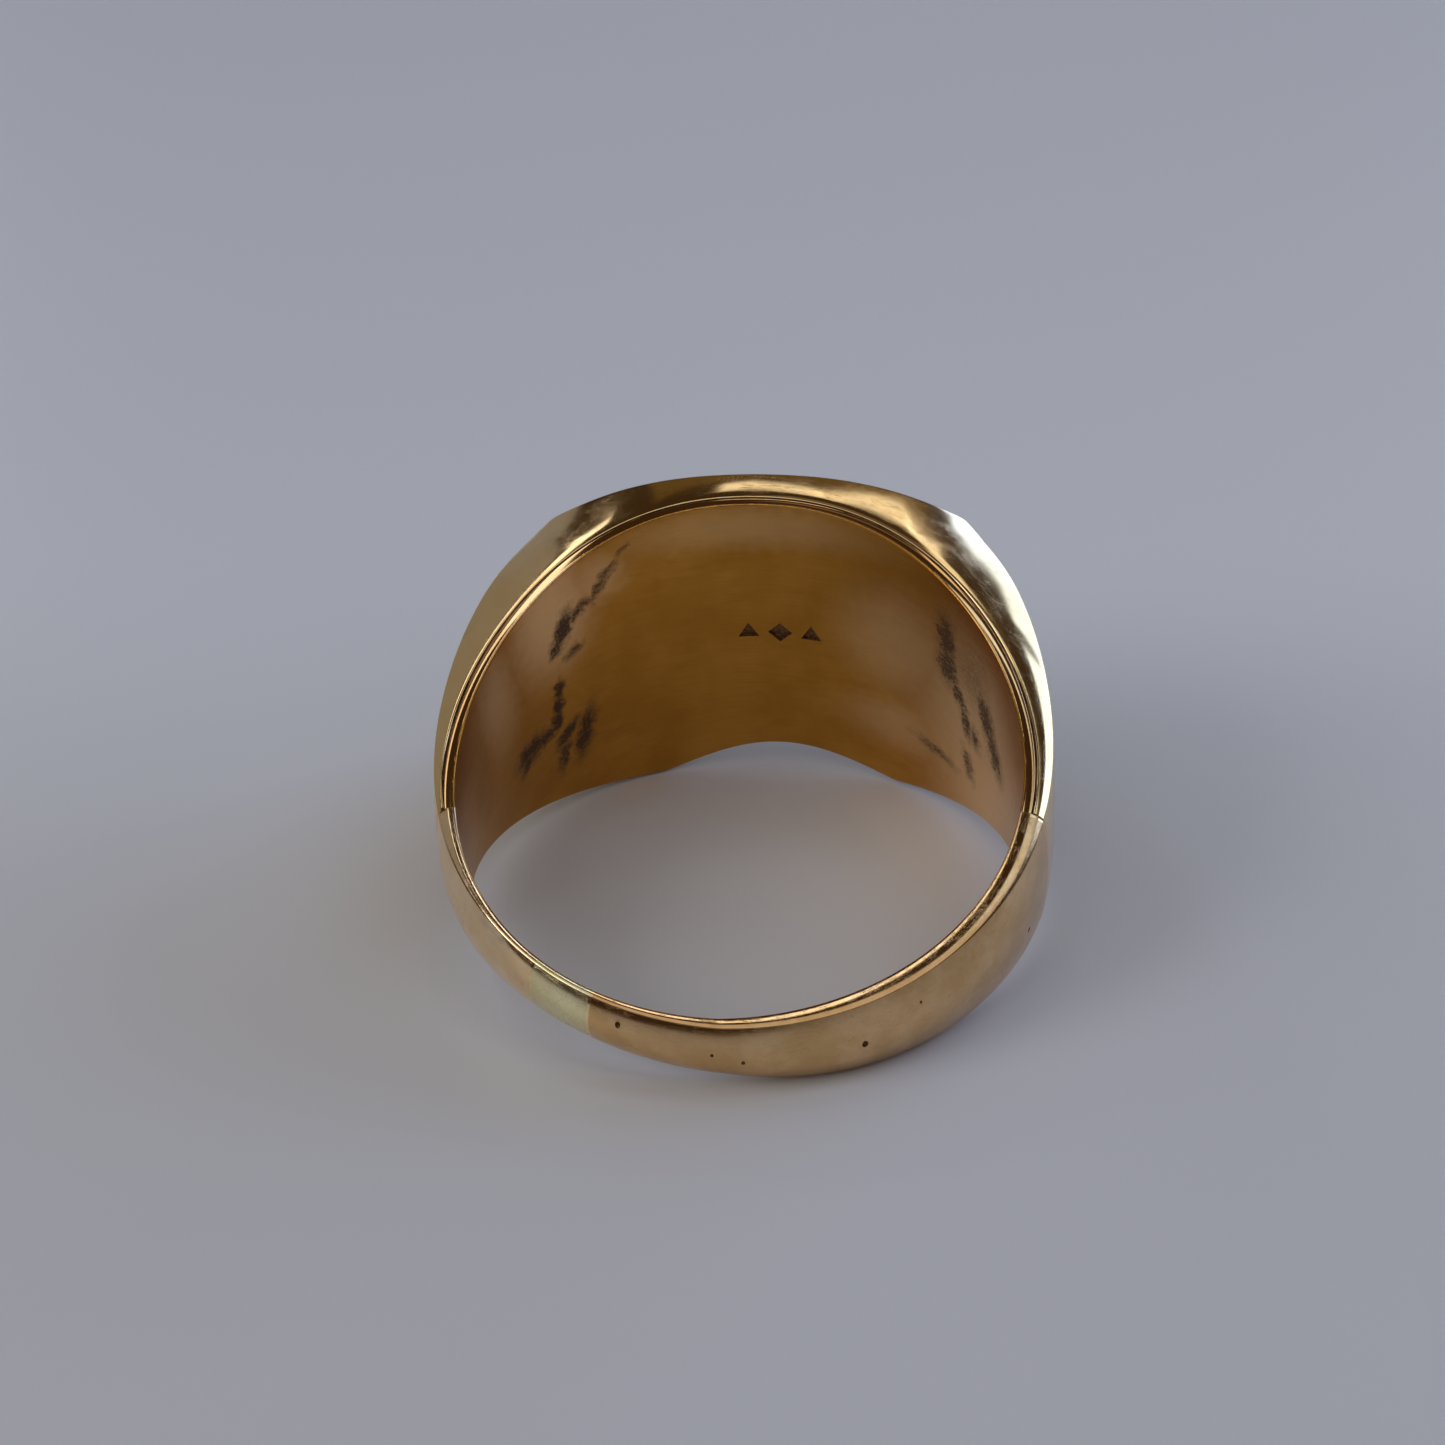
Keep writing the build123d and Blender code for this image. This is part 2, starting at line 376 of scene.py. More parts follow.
class Flow:
    """One socket's value, so that patterns can be written as sums and products."""

    def __init__(self, finish, socket):
        self.finish = finish
        self.socket = socket

    def maths(self, operation, *others, clamp=False):
        settings = {"operation": operation, "use_clamp": clamp}
        return self.finish.node("ShaderNodeMath", settings, dict(enumerate((self, *others))))

    def __add__(self, other):
        return self.maths("ADD", other)

    __radd__ = __add__

    def __mul__(self, other):
        return self.maths("MULTIPLY", other)

    __rmul__ = __mul__

    def __sub__(self, other):
        return self.maths("SUBTRACT", other)

    def __rsub__(self, other):
        return (self * -1.0) + other

    def band(self, low, high):
        """0 at low, 1 at high, smooth between; low may be the larger."""
        share = ((self - low) * (1.0 / (high - low))).maths("MULTIPLY", 1.0, clamp=True)
        return share * share * (3.0 - 2.0 * share)


def scratches(finish, turn, amount, scale=1.0):
    """Hairline scratches lying one way: thin, long and few. 1 in a scratch, 0 outside."""
    long_way = finish.unrolled((0.35 * scale, 6.0 * scale, 6.0 * scale), turn)
    lines = finish.noise(long_way, 2.2, 2.0, 0.5, 0.25)
    patches = finish.noise(finish.unrolled(), 0.9 * scale, 1.0).band(0.45, 0.62)
    return lines.band(0.5, 0.512) * lines.band(0.53, 0.518) * patches * amount


def polished_gold(name, light, deep, rough):
    """Ten karat gold, buffed and worn: bright, with a soft haze and hairline scratches."""
    gold = Finish(name)
    place = gold.unrolled()
    cloud = gold.noise(place, 0.55, 4.0)
    haze = gold.noise(place, 2.4, 5.0, 0.65)
    lines = scratches(gold, 20.0, 1.0) + scratches(gold, -35.0, 0.8, 1.3)
    lines = lines + scratches(gold, 78.0, 0.7, 0.8)
    tone = gold.mix(cloud.band(0.35, 0.68), deep, light)
    gold.set(
        Base_Color=gold.mix(lines * 0.25, tone, (0.30, 0.18, 0.07, 1)),
        Metallic=1.0,
        Roughness=haze.band(0.2, 0.8) * 0.02 + lines * 0.10 + rough,
    )
    ripple = gold.noise(place, 0.55, 1.0)
    gold.bump(ripple - lines * 0.25, 0.0010)
    return gold.material


head_gold = polished_gold(
    "polished_head_gold", (0.93, 0.69, 0.36, 1), (0.89, 0.63, 0.30, 1), 0.09
)
HEAD_STEP = 0.5
head = swept_piece("struck_head", head_outline, -HEAD_END, HEAD_END, HEAD_STEP)
head.data.materials.append(head_gold)
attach(head, "root")
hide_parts("signet_head")

# ---------------------------------------------------------------------------
# Back plate. A thin curved sheet of gold closes the hollow head and lies against the
# finger. It is brushed round the finger, stained dark where pits were never cleaned
# out, and carries a small generic punch mark: a lozenge between two triangles.
# ---------------------------------------------------------------------------
WALL_STEPS = 48
STAINS = [
    # way round in degrees, height, half length, half width, lean in degrees, strength
    (-28.5, 5.50, 0.30, 0.10, -40.0, 0.45),
    (-32.0, 4.70, 0.45, 0.14, -50.0, 0.60),
    (-34.6, 4.20, 0.55, 0.18, -60.0, 0.60),
    (-38.7, 3.75, 0.34, 0.16, -20.0, 0.70),
    (-41.0, 3.40, 0.34, 0.22, -35.0, 0.80),
    (-44.6, 3.00, 0.78, 0.30, -68.0, 1.00),
    (-46.7, 2.40, 0.40, 0.24, -60.0, 0.80),
    (-42.3, 1.80, 0.40, 0.18, -20.0, 0.60),
    (-47.3, 0.30, 0.42, 0.20, -80.0, 1.00),
    (-48.2, -0.40, 0.44, 0.22, -80.0, 1.00),
    (-49.3, -1.15, 0.44, 0.24, -80.0, 1.00),
    (-46.9, -2.05, 0.66, 0.24, -40.0, 0.90),
    (-53.2, -1.55, 0.66, 0.26, -20.0, 0.95),
    (-57.6, -1.50, 0.80, 0.40, -15.0, 1.00),
    (-59.6, -2.00, 0.50, 0.24, -50.0, 0.80),
    (-42.0, -2.50, 1.00, 0.32, -72.0, 1.00),
    (-48.3, -3.00, 0.60, 0.24, -70.0, 0.80),
    (46.4, 2.90, 0.90, 0.40, 80.0, 1.00),
    (46.8, 1.60, 0.80, 0.46, 82.0, 0.90),
    (50.4, 0.60, 0.62, 0.26, 70.0, 0.90),
    (52.8, -0.50, 0.70, 0.24, 75.0, 0.85),
    (60.6, 0.70, 0.90, 0.42, 65.0, 1.00),
    (64.6, -0.50, 0.90, 0.40, 60.0, 0.95),
    (56.3, -0.90, 0.50, 0.22, 75.0, 0.75),
    (53.8, -2.60, 0.70, 0.26, 70.0, 0.70),
    (43.4, -3.20, 0.90, 0.22, 10.0, 0.60),
    (55.0, 2.00, 1.10, 0.90, 70.0, 0.35),
]
POLISHED_AND_LIT = [
    # lighter patches, laid out as the stains are: partly where the polishing stick reached, partly
    # painted light where light falls through the finger hole
    (-48.0, 4.00, 1.90, 2.80, 0.0, 1.00),
    (-36.0, 4.60, 1.40, 1.20, 0.0, 0.55),
    (58.0, -1.00, 3.40, 5.00, 0.0, 0.95),
    (36.0, -3.00, 2.80, 1.40, 0.0, 0.45),
    (34.0, 1.20, 2.60, 2.60, 0.0, 0.50),
    (-66.0, 2.20, 1.20, 2.60, 0.0, 0.50),
    (0.0, 5.60, 5.00, 1.00, 0.0, 0.35),
]


def liner_outline(angle):
    """The plate's inner wall, its rounded lips, and its back against the solder."""
    top, bottom = near_edge(angle), far_edge(angle)
    low, high = INNER_ROUND + RIM_DROP - bottom, top - INNER_ROUND - RIM_DROP
    wall = [(BORE, low + (high - low) * step / WALL_STEPS) for step in range(WALL_STEPS + 1)]
    lip = []
    for step in range(1, 6):
        turn = radians(18.0 * step)
        lip.append((INNER_ROUND * (1.0 - cos(turn)), INNER_ROUND * (1.0 - sin(turn))))
    lip += [(0.22, 0.001), (LINER_T - 0.05, 0.006), (LINER_T - 0.015, 0.022), (LINER_T, 0.06)]
    upper = [(BORE + off, top - RIM_DROP - drop) for off, drop in lip]
    lower = [(BORE + off, drop + RIM_DROP - bottom) for off, drop in reversed(lip)]
    return wall + upper + lower


def brushed_gold():
    """Gold brushed round the finger, warm and dull, with dark stains in its pores."""
    gold = Finish("brushed_liner_gold")
    place = gold.unrolled()
    brushed = gold.noise(gold.unrolled((0.22, 1.0, 7.0)), 2.6, 4.0, 0.6)
    smear = gold.noise(gold.unrolled((0.6, 1.0, 1.8), 55.0), 1.1, 4.0, 0.6, 0.8)
    cloud = gold.noise(place, 0.32, 3.0)
    grain = gold.noise(place, 9.0, 4.0, 0.7)
    wander = gold.node(
        "ShaderNodeTexNoise", None, {"Vector": place, "Scale": 2.2, "Detail": 3.0}, "Color"
    )
    wander = gold.node(
        "ShaderNodeVectorMath", {"operation": "SUBTRACT"}, {0: wander, 1: (0.5, 0.5, 0.5)}
    )
    wander = gold.node("ShaderNodeVectorMath", {"operation": "SCALE"}, {0: wander, "Scale": 0.7})
    warped = gold.node("ShaderNodeVectorMath", {"operation": "ADD"}, {0: place, 1: wander})

    def laid(patches, fades, full):
        """All the patches of a list in one mask: 0 from fades outwards, 1 from full inwards."""
        mask = None
        for angle, height, length, width, lean, strength in patches:
            reach = gold.patch(warped, angle, height, length, width, lean)
            blot = reach.band(fades, full) * strength
            mask = blot if mask is None else mask.maths("MAXIMUM", blot)
        return mask

    stain = laid(STAINS, 1.9, 0.15)
    # lighter tone in these patches: partly polish, partly painted light falling through the hole
    polished_and_lit = laid(POLISHED_AND_LIT, 1.5, 0.2)
    worn = gold.noise(gold.unrolled((1.0, 1.0, 2.2), 60.0), 3.2, 4.0, 0.7, 0.6)
    stain = stain * (grain.band(0.30, 0.60) * 0.55 + 0.45) * (worn.band(0.30, 0.60) * 0.85 + 0.75)
    off_wall = gold.node("ShaderNodeSeparateXYZ", None, {"Vector": gold.unrolled()}, "Y")
    lip = off_wall.band(0.02, 0.10)
    dull = brushed.band(0.35, 0.7) * 0.30 + smear.band(0.45, 0.75) * 0.30
    bright = (polished_and_lit + lip * 0.5).maths("MINIMUM", 1.0)
    tone = gold.mix(cloud.band(0.36, 0.66), (0.53, 0.245, 0.032, 1), (0.63, 0.310, 0.050, 1))
    tone = gold.mix(dull, tone, (0.42, 0.185, 0.028, 1))
    tone = gold.mix(bright, tone, (0.99, 0.68, 0.36, 1))
    rough = brushed * 0.08 + smear * 0.08 + 0.15
    gold.set(
        Base_Color=gold.mix(stain.maths("MINIMUM", 0.92), tone, (0.05, 0.022, 0.010, 1)),
        Metallic=1.0 - stain * 0.55,
        Roughness=rough * (1.0 - lip) + lip * 0.09 + stain * 0.25,
    )
    gold.bump((brushed * 0.5 + smear * 0.6 + grain * 0.1) * (1.0 - lip) - stain * 0.8, 0.018)
    return gold.material


def oxide(name):
    """What is left in a struck mark or a casting pit: dark brown tarnish and old polish."""
    dirt = Finish(name)
    place = dirt.node("ShaderNodeTexCoord", output="Object")
    grain = dirt.noise(place, 9000.0, 3.0)
    dirt.set(
        Base_Color=dirt.mix(
            grain.band(0.35, 0.65), (0.09, 0.04, 0.016, 1), (0.26, 0.14, 0.055, 1)
        ),
        Metallic=0.7,
        Roughness=grain * 0.3 + 0.35,
    )
    dirt.bump(grain, 0.01)
    return dirt.material


MARK_ANGLE = 4.8
MARK_HEIGHT = 0.4
MARK_PITCH = 1.2
MARK_SIZE = 0.6
MARK_DEPTH = 0.12
MARK_TAPER = 0.72


def punch_cutters():
    """Closed prisms of the punch mark's triangle, lozenge and triangle, set in the wall."""
    mesh = bmesh.new()
    for place, sides in ((-1, 3), (0, 4), (1, 3)):
        middle = radians(MARK_ANGLE) + place * MARK_PITCH / BORE
        rows = []
        for r in (BORE - 0.5, BORE + MARK_DEPTH):
            shrink = 1.0 if r < BORE else MARK_TAPER
            row = []
            for corner in range(sides):
                turn = 2.0 * pi * corner / sides
                angle = middle + MARK_SIZE * shrink * sin(turn) / BORE
                height = MARK_HEIGHT + MARK_SIZE * shrink * cos(turn)
                row.append(mesh.verts.new(
                    ring_place @ (Vector((r * sin(angle), r * cos(angle), height)) * MM)
                ))
            rows.append(row)
        mesh.faces.new(rows[0])
        mesh.faces.new(list(reversed(rows[1])))
        for corner in range(sides):
            after = (corner + 1) % sides
            mesh.faces.new((rows[0][corner], rows[1][corner], rows[1][after], rows[0][after]))
    bmesh.ops.recalc_face_normals(mesh, faces=mesh.faces)
    data = bpy.data.meshes.new("punch")
    mesh.to_mesh(data)
    mesh.free()
    cutters = bpy.data.objects.new("punch", data)
    bpy.context.scene.collection.objects.link(cutters)
    return cutters


def settled_mesh(piece):
    """The piece as its modifiers leave it, as a plain mesh."""
    return bpy.data.meshes.new_from_object(
        piece.evaluated_get(bpy.context.evaluated_depsgraph_get())
    )


def cut_away(piece, cutters, lining):
    """Takes the cutters out of the piece, lines the hollows and throws the cutters away."""
    cutters.data.materials.append(lining)
    modifier = piece.modifiers.new("cut", "BOOLEAN")
    modifier.operation = "DIFFERENCE"
    modifier.material_mode = "TRANSFER"
    modifier.solver = "EXACT"
    modifier.object = cutters
    settled = settled_mesh(piece)
    piece.modifiers.remove(modifier)
    piece.data = settled
    bpy.data.objects.remove(cutters)
    settled.set_sharp_from_angle(angle=SHARP_EDGE)


liner = swept_piece("back_plate", liner_outline, -HEAD_END, HEAD_END, HEAD_STEP)
liner.data.materials.append(brushed_gold())
mark_oxide = oxide("mark_oxide")
cut_away(liner, punch_cutters(), mark_oxide)
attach(liner, "root")
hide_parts("head_liner")

# ---------------------------------------------------------------------------
# Solder round the back plate. Two thin fillets of gold solder run along the upper and
# lower rims, sunk between the plate and the struck head. They were flowed in by torch,
# so they are never quite even. Old polish darkens them a little; most of their
# near-black colour is painted shade for the groove they sit in.
# ---------------------------------------------------------------------------
BEAD_RADIUS = 0.052
BEAD_SET_BACK = 0.145
BEAD_POINTS = 321
BEAD_UNEVENNESS = 0.5


def bead_way(side):
    """The line a fillet follows, as a smooth curve between plate and head."""
    line = bpy.data.curves.new("bead_way", "CURVE")
    line.dimensions = "3D"
    spline = line.splines.new("POLY")
    spline.points.add(BEAD_POINTS - 1)
    r = BORE + LINER_T + SOLDER_T / 2.0
    for index in range(BEAD_POINTS):
        angle = -HEAD_END + 2.0 * HEAD_END * index / (BEAD_POINTS - 1)
        height = side * ((near_edge(angle) if side > 0 else far_edge(angle)) - BEAD_SET_BACK)
        spot = Vector((r * sin(radians(angle)), r * cos(radians(angle)), height))
        spline.points[index].co = (*(ring_place @ (spot * MM)), 1.0)
    way = bpy.data.objects.new("bead_way", line)
    bpy.context.scene.collection.objects.link(way)
    return way


def bead_tree(finish):
    """Lays a bead along a curve: a thin round wire, swollen and thinned by noise."""
    tree = bpy.data.node_groups.new("solder_bead", "GeometryNodeTree")
    for name, way_in_or_out, kind in (
        ("Way", "INPUT", "NodeSocketGeometry"),
        ("Radius", "INPUT", "NodeSocketFloat"),
        ("Unevenness", "INPUT", "NodeSocketFloat"),
        ("Seed", "INPUT", "NodeSocketInt"),
        ("Bead", "OUTPUT", "NodeSocketGeometry"),
    ):
        tree.interface.new_socket(name, in_out=way_in_or_out, socket_type=kind)

    def add(kind, inputs=None, **settings):
        node = tree.nodes.new(kind)
        for key, value in settings.items():
            setattr(node, key, value)
        for key, value in (inputs or {}).items():
            if hasattr(value, "is_linked"):
                tree.links.new(value, node.inputs[key])
            else:
                node.inputs[key].default_value = value
        return node

    given = add("NodeGroupInput")
    def sum_of(operation, first, second):
        return add("ShaderNodeMath", {0: first, 1: second}, operation=operation).outputs[0]

    swell = add(
        "ShaderNodeTexNoise",
        {"Scale": 900.0, "Detail": 2.0, "W": sum_of("MULTIPLY", given.outputs["Seed"], 7.3)},
        noise_dimensions="4D",
    )
    swing = sum_of("SUBTRACT", swell.outputs[0], 0.5)
    share = sum_of("ADD", sum_of("MULTIPLY", swing, given.outputs["Unevenness"]), 1.0)
    ring = add(
        "GeometryNodeCurvePrimitiveCircle",
        {"Resolution": 10, "Radius": given.outputs["Radius"]},
    )
    wire = add(
        "GeometryNodeCurveToMesh",
        {"Curve": given.outputs["Way"], "Profile Curve": ring.outputs[0], "Scale": share,
         "Fill Caps": True},
    )
    smooth = add("GeometryNodeSetShadeSmooth", {"Geometry": wire.outputs[0]})
    real = add("GeometryNodeRealizeInstances", {"Geometry": smooth.outputs[0]})
    dressed = add("GeometryNodeSetMaterial", {"Geometry": real.outputs[0], "Material": finish})
    out = tree.nodes.new("NodeGroupOutput")
    tree.links.new(dressed.outputs[0], out.inputs[0])
    return tree


def solder_gold(name, light, dark):
    """Gold solder: paler than the ring, dull, and blotched dark and light at random."""
    solder = Finish(name)
    place = solder.node("ShaderNodeTexCoord", output="Object")
    blotch = solder.noise(place, 1400.0, 3.0)
    grain = solder.noise(place, 6000.0, 3.0)
    solder.set(
        Base_Color=solder.mix(blotch.band(0.42, 0.62), dark, light),
        Metallic=1.0,
        Roughness=grain * 0.25 + 0.22,
    )
    solder.bump(grain + blotch, 0.02, 0.6)
    return solder.material


# near-black solder colours: painted shade in the groove between plate and head, over a little old
# tarnish
dirty_solder = solder_gold("dirty_solder", (0.24, 0.13, 0.055, 1), (0.07, 0.035, 0.014, 1))
laying = bead_tree(dirty_solder)
for name, node, side, seed in (
    ("solder_fillet_near", "liner_solder_near", 1, 3),
    ("solder_fillet_far", "liner_solder_far", -1, 8),
):
    way = bead_way(side)
    modifier = way.modifiers.new("bead", "NODES")
    modifier.node_group = laying
    wanted = {"Radius": BEAD_RADIUS * MM, "Unevenness": BEAD_UNEVENNESS, "Seed": seed}
    for item in laying.interface.items_tree:
        if item.name in wanted:
            modifier[item.identifier] = wanted[item.name]
    bead = bpy.data.objects.new(name, settled_mesh(way))
    bpy.context.scene.collection.objects.link(bead)
    bpy.data.objects.remove(way)
    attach(bead, "root")
    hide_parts(node)

# ---------------------------------------------------------------------------
# Shank. The band that goes round the back of the finger, in two arms that were cut at
# the back left to let the sizing piece in. Years of wear have rubbed its outer face to
# a soft satin and left the rim beside the finger hole bright.
# ---------------------------------------------------------------------------
SEAM = 0.66
INSERT_START = -154.5
INSERT_END = -141.5
BAND_WALL_STEPS = 12
ARM_STEP, SEAM_STEP, SHORTEST_ARM = 1.0, 0.22, 5.0
PITS = [
    # way round in degrees, height, radius
    (-161.1, 0.99, 0.10),
    (-178.6, 0.45, 0.06),
    (176.0, 0.14, 0.07),
    (154.4, 0.13, 0.11),
    (112.2, -0.57, 0.09),
    (143.0, 0.9, 0.05),
]


def band_outline(angle):
    """Closed outline of the solid band: the finger side, then rim, face and rim."""
    side = outer_side(angle, False)
    top, bottom = near_edge(angle) - side[0][1], far_edge(angle) - side[0][1]
    inside = [
        (BORE, -bottom + (top + bottom) * step / BAND_WALL_STEPS)
        for step in range(1, BAND_WALL_STEPS)
    ]
    return both_rims(angle, side) + inside


def pit_cutters(pits):
    """Small rough balls set half into the surface, each to leave a casting pit."""
    mesh = bmesh.new()
    for angle, height, radius in pits:
        turn = short_way(angle)
        side = [(BORE + off, near_edge(turn) - drop) for off, drop in outer_side(turn, False)]
        r = min(side, key=lambda point: abs(point[1] - height))[0]
        spot = Vector((r * sin(radians(angle)), r * cos(radians(angle)), height))
        place = ring_place @ Matrix.Translation(spot * MM) @ Matrix.Diagonal((1.0, 1.0, 1.4, 1.0))
        bmesh.ops.create_icosphere(mesh, subdivisions=2, radius=radius * MM, matrix=place)
    data = bpy.data.meshes.new("pits")
    mesh.to_mesh(data)
    mesh.free()
    cutters = bpy.data.objects.new("pits", data)
    bpy.context.scene.collection.objects.link(cutters)
    return cutters


def worn_gold(name, light, deep, rough):
    """The band's gold: satin outer face, brighter rim, faint tarnish clouds."""
    gold = Finish(name)
    place = gold.unrolled()
    off_finger = gold.node("ShaderNodeSeparateXYZ", None, {"Vector": gold.unrolled()}, "Y")
    cloud = gold.noise(place, 0.7, 5.0, 0.6)
    bloom = gold.noise(place, 2.2, 4.0, 0.6, 0.5)
    haze = gold.noise(place, 5.0, 5.0, 0.7)
    face = off_finger.band(0.28, 0.55)
    lines = scratches(gold, 8.0, 1.0, 1.2) + scratches(gold, -30.0, 0.8, 1.5)
    lines = lines + scratches(gold, 65.0, 0.6)
    tone = gold.mix(cloud.band(0.36, 0.66), deep, light)
    tone = gold.mix(bloom.band(0.55, 0.78) * 0.5, tone, (0.72, 0.50, 0.30, 1))
    gold.set(
        Base_Color=gold.mix(lines * 0.3, tone, (0.35, 0.20, 0.09, 1)),
        Metallic=1.0,
        Roughness=face * 0.12 + haze.band(0.3, 0.8) * 0.08 + lines * 0.1 + rough,
    )
    ripple = gold.noise(gold.unrolled((0.8, 1.0, 1.0)), 1.0, 2.0)
    gold.bump(ripple + haze * 0.1 - lines * 0.3, 0.002)
    return gold.material


left_gold = worn_gold("worn_left_gold", (0.95, 0.73, 0.46, 1), (0.90, 0.66, 0.38, 1), 0.08)
# the right arm is the left arm's gold made darker: painted shade on the right side
shaded_right_gold = worn_gold("worn_right_gold", (0.80, 0.53, 0.27, 1), (0.68, 0.43, 0.19, 1), 0.08)
pale_gold = worn_gold("pale_sizing_gold", (0.84, 0.77, 0.48, 1), (0.80, 0.70, 0.40, 1), 0.14)
seam_gold = polished_gold("bright_solder", (0.90, 0.70, 0.40, 1), (0.84, 0.62, 0.32, 1), 0.10)
LEFT_SEAM = (INSERT_END, INSERT_END + SEAM)
RIGHT_SEAM = (INSERT_START - SEAM, INSERT_START)
BAND = {
    ("yellow_gold_shank", left_gold): [
        ("left_arm", "shank_arm_left", LEFT_SEAM[1], -HEAD_END - SEAM),
    ],
    ("yellow_gold_shank", shaded_right_gold): [
        ("right_arm", "shank_arm_right", HEAD_END + SEAM, 360.0 + INSERT_START - SEAM),
    ],
    ("pale_gold_insert", pale_gold): [
        ("sizing_piece", "sizing_insert", INSERT_START, INSERT_END),
    ],
    ("gold_solder", seam_gold): [
        ("sizing_seam_left", "sizing_solder_left", *LEFT_SEAM),
        ("sizing_seam_right", "sizing_solder_right", *RIGHT_SEAM),
        ("head_seam_left", "head_solder_left", -HEAD_END - SEAM, -HEAD_END),
        ("head_seam_right", "head_solder_right", HEAD_END, HEAD_END + SEAM),
    ],
}
for (slot, metal), pieces in BAND.items():
    for name, node, start, end in pieces:
        step = ARM_STEP if end - start > SHORTEST_ARM else SEAM_STEP
        arm = swept_piece(name, band_outline, start, end, step)
        arm.data.materials.append(metal)
        if name == "right_arm":
            cut_away(arm, pit_cutters(PITS), mark_oxide)
        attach(arm, "root")
        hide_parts(node)

# ---------------------------------------------------------------------------
# Bench. A plain pale board, slightly satin, that the ring lies on; its colour is painted lighter
# and bluer toward the back, a painted sheen of window light.
# ---------------------------------------------------------------------------
def bench_top():
    bench = Finish("bench_top")
    place = bench.node("ShaderNodeTexCoord", output="Object")
    cloud = bench.noise(place, 14.0, 3.0)
    painted_sheen_to_back = bench.node("ShaderNodeSeparateXYZ", None, {"Vector": place}, "Y")
    tone = bench.mix(cloud.band(0.3, 0.7), (0.64, 0.672, 0.735, 1), (0.68, 0.71, 0.775, 1))
    bench.set(
        # lighter, bluer toward the back: painted sheen of light on the board
        Base_Color=bench.mix(
            painted_sheen_to_back.band(-0.004, 0.030) * 0.8, tone, (0.80, 0.86, 0.95, 1)
        ),
        Roughness=0.38,
    )
    return bench.material


BENCH_HALF = 1.5
board = bpy.data.meshes.new("bench")
corners = [(x * BENCH_HALF, y * BENCH_HALF, 0.0) for x, y in ((-1, -1), (1, -1), (1, 1), (-1, 1))]
board.from_pydata(corners, [], [(0, 1, 2, 3)])
board.materials.append(bench_top())
bench = bpy.data.objects.new("bench", board)
bpy.context.scene.collection.objects.link(bench)

# ---------------------------------------------------------------------------
# Light. Soft panels round a dark room: bright strips and a grey wall to the left, small
# ones over the head, broad cool ones to the right, and a dim one behind the camera.
# ---------------------------------------------------------------------------
LIGHT_FAR = 0.9


def bearing(round_turn, rise):
    """Unit vector to a compass turn from straight behind the ring, and a rise, in degrees."""
    turn, lift = radians(round_turn), radians(rise)
    return Vector((sin(turn) * cos(lift), cos(turn) * cos(lift), sin(lift)))


def soft_panel(name, start, end, wide, glow, colour):
    """A soft panel hung from one bearing to another, so many degrees wide."""
    first, last = bearing(*start), bearing(*end)
    way = (first + last).normalized()
    long_way = (last - first).normalized()
    light = bpy.data.lights.new(name, "AREA")
    light.shape = "RECTANGLE"
    light.size = 2.0 * LIGHT_FAR * tan(radians(wide) / 2.0)
    light.size_y = 2.0 * LIGHT_FAR * tan(first.angle(last) / 2.0)
    light.energy = glow * light.size * light.size_y * pi
    light.color = colour
    lamp = bpy.data.objects.new(name, light)
    turned = Matrix((long_way.cross(way), long_way, way)).transposed().to_4x4()
    turned.translation = way * LIGHT_FAR
    lamp.matrix_world = turned
    lamp.visible_camera = False
    bpy.context.scene.collection.objects.link(lamp)


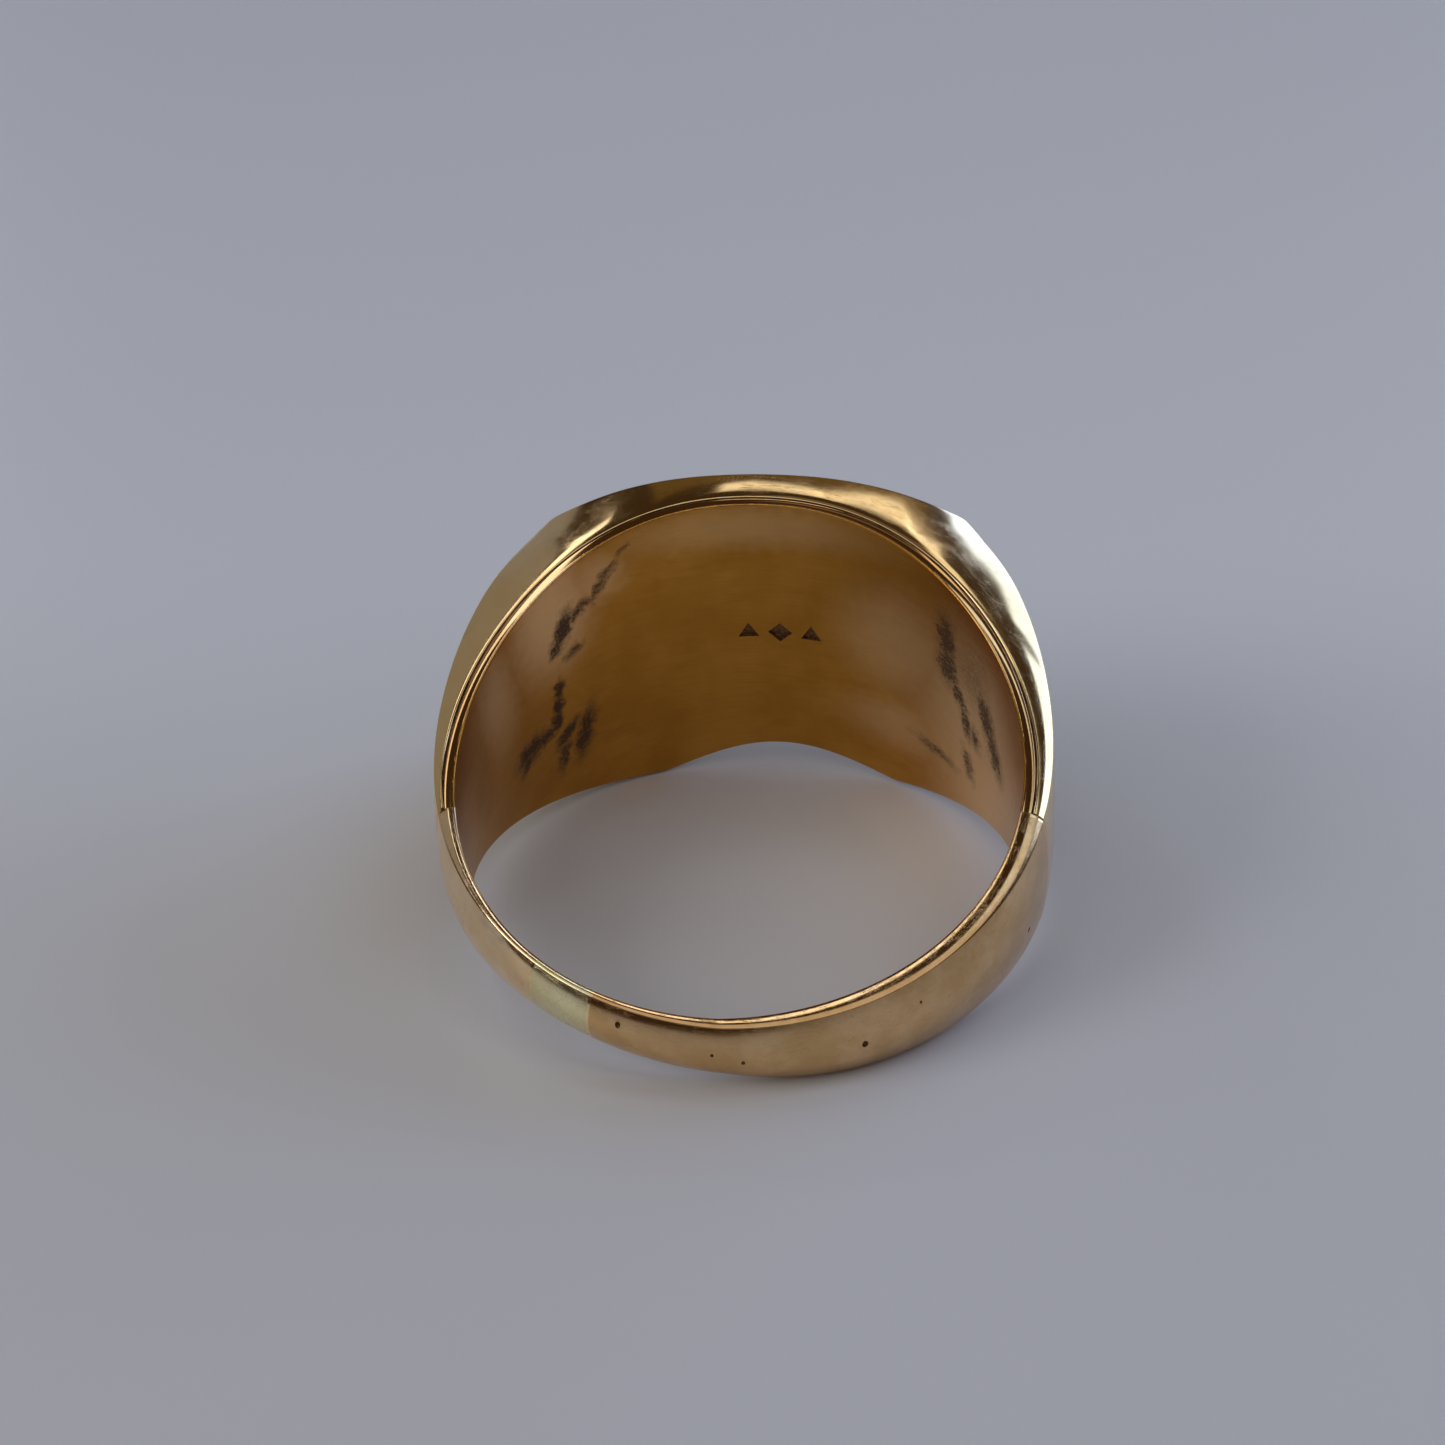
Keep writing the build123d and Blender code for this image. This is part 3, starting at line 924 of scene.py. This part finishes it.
WHITE = (1.0, 1.0, 1.0)
for name, start, end, wide, glow, colour in (
    ("left_wall", (-33, -10), (-96, 42), 41, 0.19, WHITE),
    ("left_window_low", (-26, 17), (-48, 44), 5, 1.7, (1.0, 0.97, 0.92)),
    ("left_window_high", (-48, 44), (-85, 64), 6, 1.3, WHITE),
    ("left_roof", (-42, 77), (-12, 71), 7, 2.0, (0.90, 0.93, 1.0)),
    ("left_side", (-132, 30), (-102, 32), 24, 3.0, (1.0, 0.96, 0.92)),
    ("olive_wall", (-18, 22), (20, 19), 12, 0.07, (1.0, 0.68, 0.22)),
    ("over_left", (-9, 32), (4, 33), 4, 1.1, (1.0, 0.95, 0.86)),
    ("over_right", (4, 33.5), (19, 21), 3.8, 1.1, (1.0, 0.95, 0.86)),
    ("right_strip_low", (20, 20), (33, 39), 4, 1.1, (1.0, 0.95, 0.88)),
    ("right_strip_high", (33, 39), (52, 58), 6, 0.9, (1.0, 0.95, 0.88)),
    ("ceiling", (-5, 50), (45, 52), 9, 0.15, (1.0, 0.75, 0.60)),
    ("right_window_low", (22, 1), (51, 25), 20, 2.9, (0.46, 0.62, 1.0)),
    ("right_window_high", (51, 25), (80, 25), 21, 2.9, (0.46, 0.62, 1.0)),
    ("right_back", (87, 40), (87, 76), 11, 1.4, (0.70, 0.82, 1.0)),
    ("room_front", (120, 38), (240, 38), 55, 0.58, (1.0, 0.95, 0.90)),
):
    soft_panel(name, start, end, wide, glow, colour)
world = bpy.data.worlds.new("room")
world.use_nodes = True
room = world.node_tree.nodes["Background"]
room.inputs["Color"].default_value = (1.0, 0.6, 0.3, 1)
room.inputs["Strength"].default_value = 0.04
bpy.context.scene.world = world
bpy.context.scene.view_settings.view_transform = "Standard"

# ---------------------------------------------------------------------------
# Camera. A long lens held above the back of the shank, looking down into the head.
# ---------------------------------------------------------------------------
VIEW_TURN = radians(-7.21)
VIEW_RISE = radians(44.08)
VIEW_ROLL = radians(4.55)
VIEW_SLIDE = (0.0700 * BORE, -0.3776 * BORE)
VIEW_DISTANCE = 9.695 * BORE
VIEW_LENS = 2700.0 / 1445.0

unturned = Matrix.Rotation(-VIEW_TURN, 3, "Z")
right = unturned @ Vector((1, 0, 0))
up = unturned @ Vector((0, sin(VIEW_RISE), cos(VIEW_RISE)))
ahead = unturned @ Vector((0, cos(VIEW_RISE), -sin(VIEW_RISE)))
rolled_right = right * cos(VIEW_ROLL) - up * sin(VIEW_ROLL)
rolled_up = right * sin(VIEW_ROLL) + up * cos(VIEW_ROLL)
spot = -VIEW_SLIDE[0] * rolled_right - VIEW_SLIDE[1] * rolled_up - VIEW_DISTANCE * ahead
stand = Matrix((rolled_right, rolled_up, -ahead)).transposed().to_4x4()
stand.translation = spot * MM
camera_data = bpy.data.cameras.new("camera")
camera_data.sensor_width = 36.0
camera_data.lens = VIEW_LENS * camera_data.sensor_width
camera_data.clip_start = 0.001
camera = bpy.data.objects.new("camera", camera_data)
camera.matrix_world = ring_place @ stand
bpy.context.scene.collection.objects.link(camera)
bpy.context.scene.camera = camera
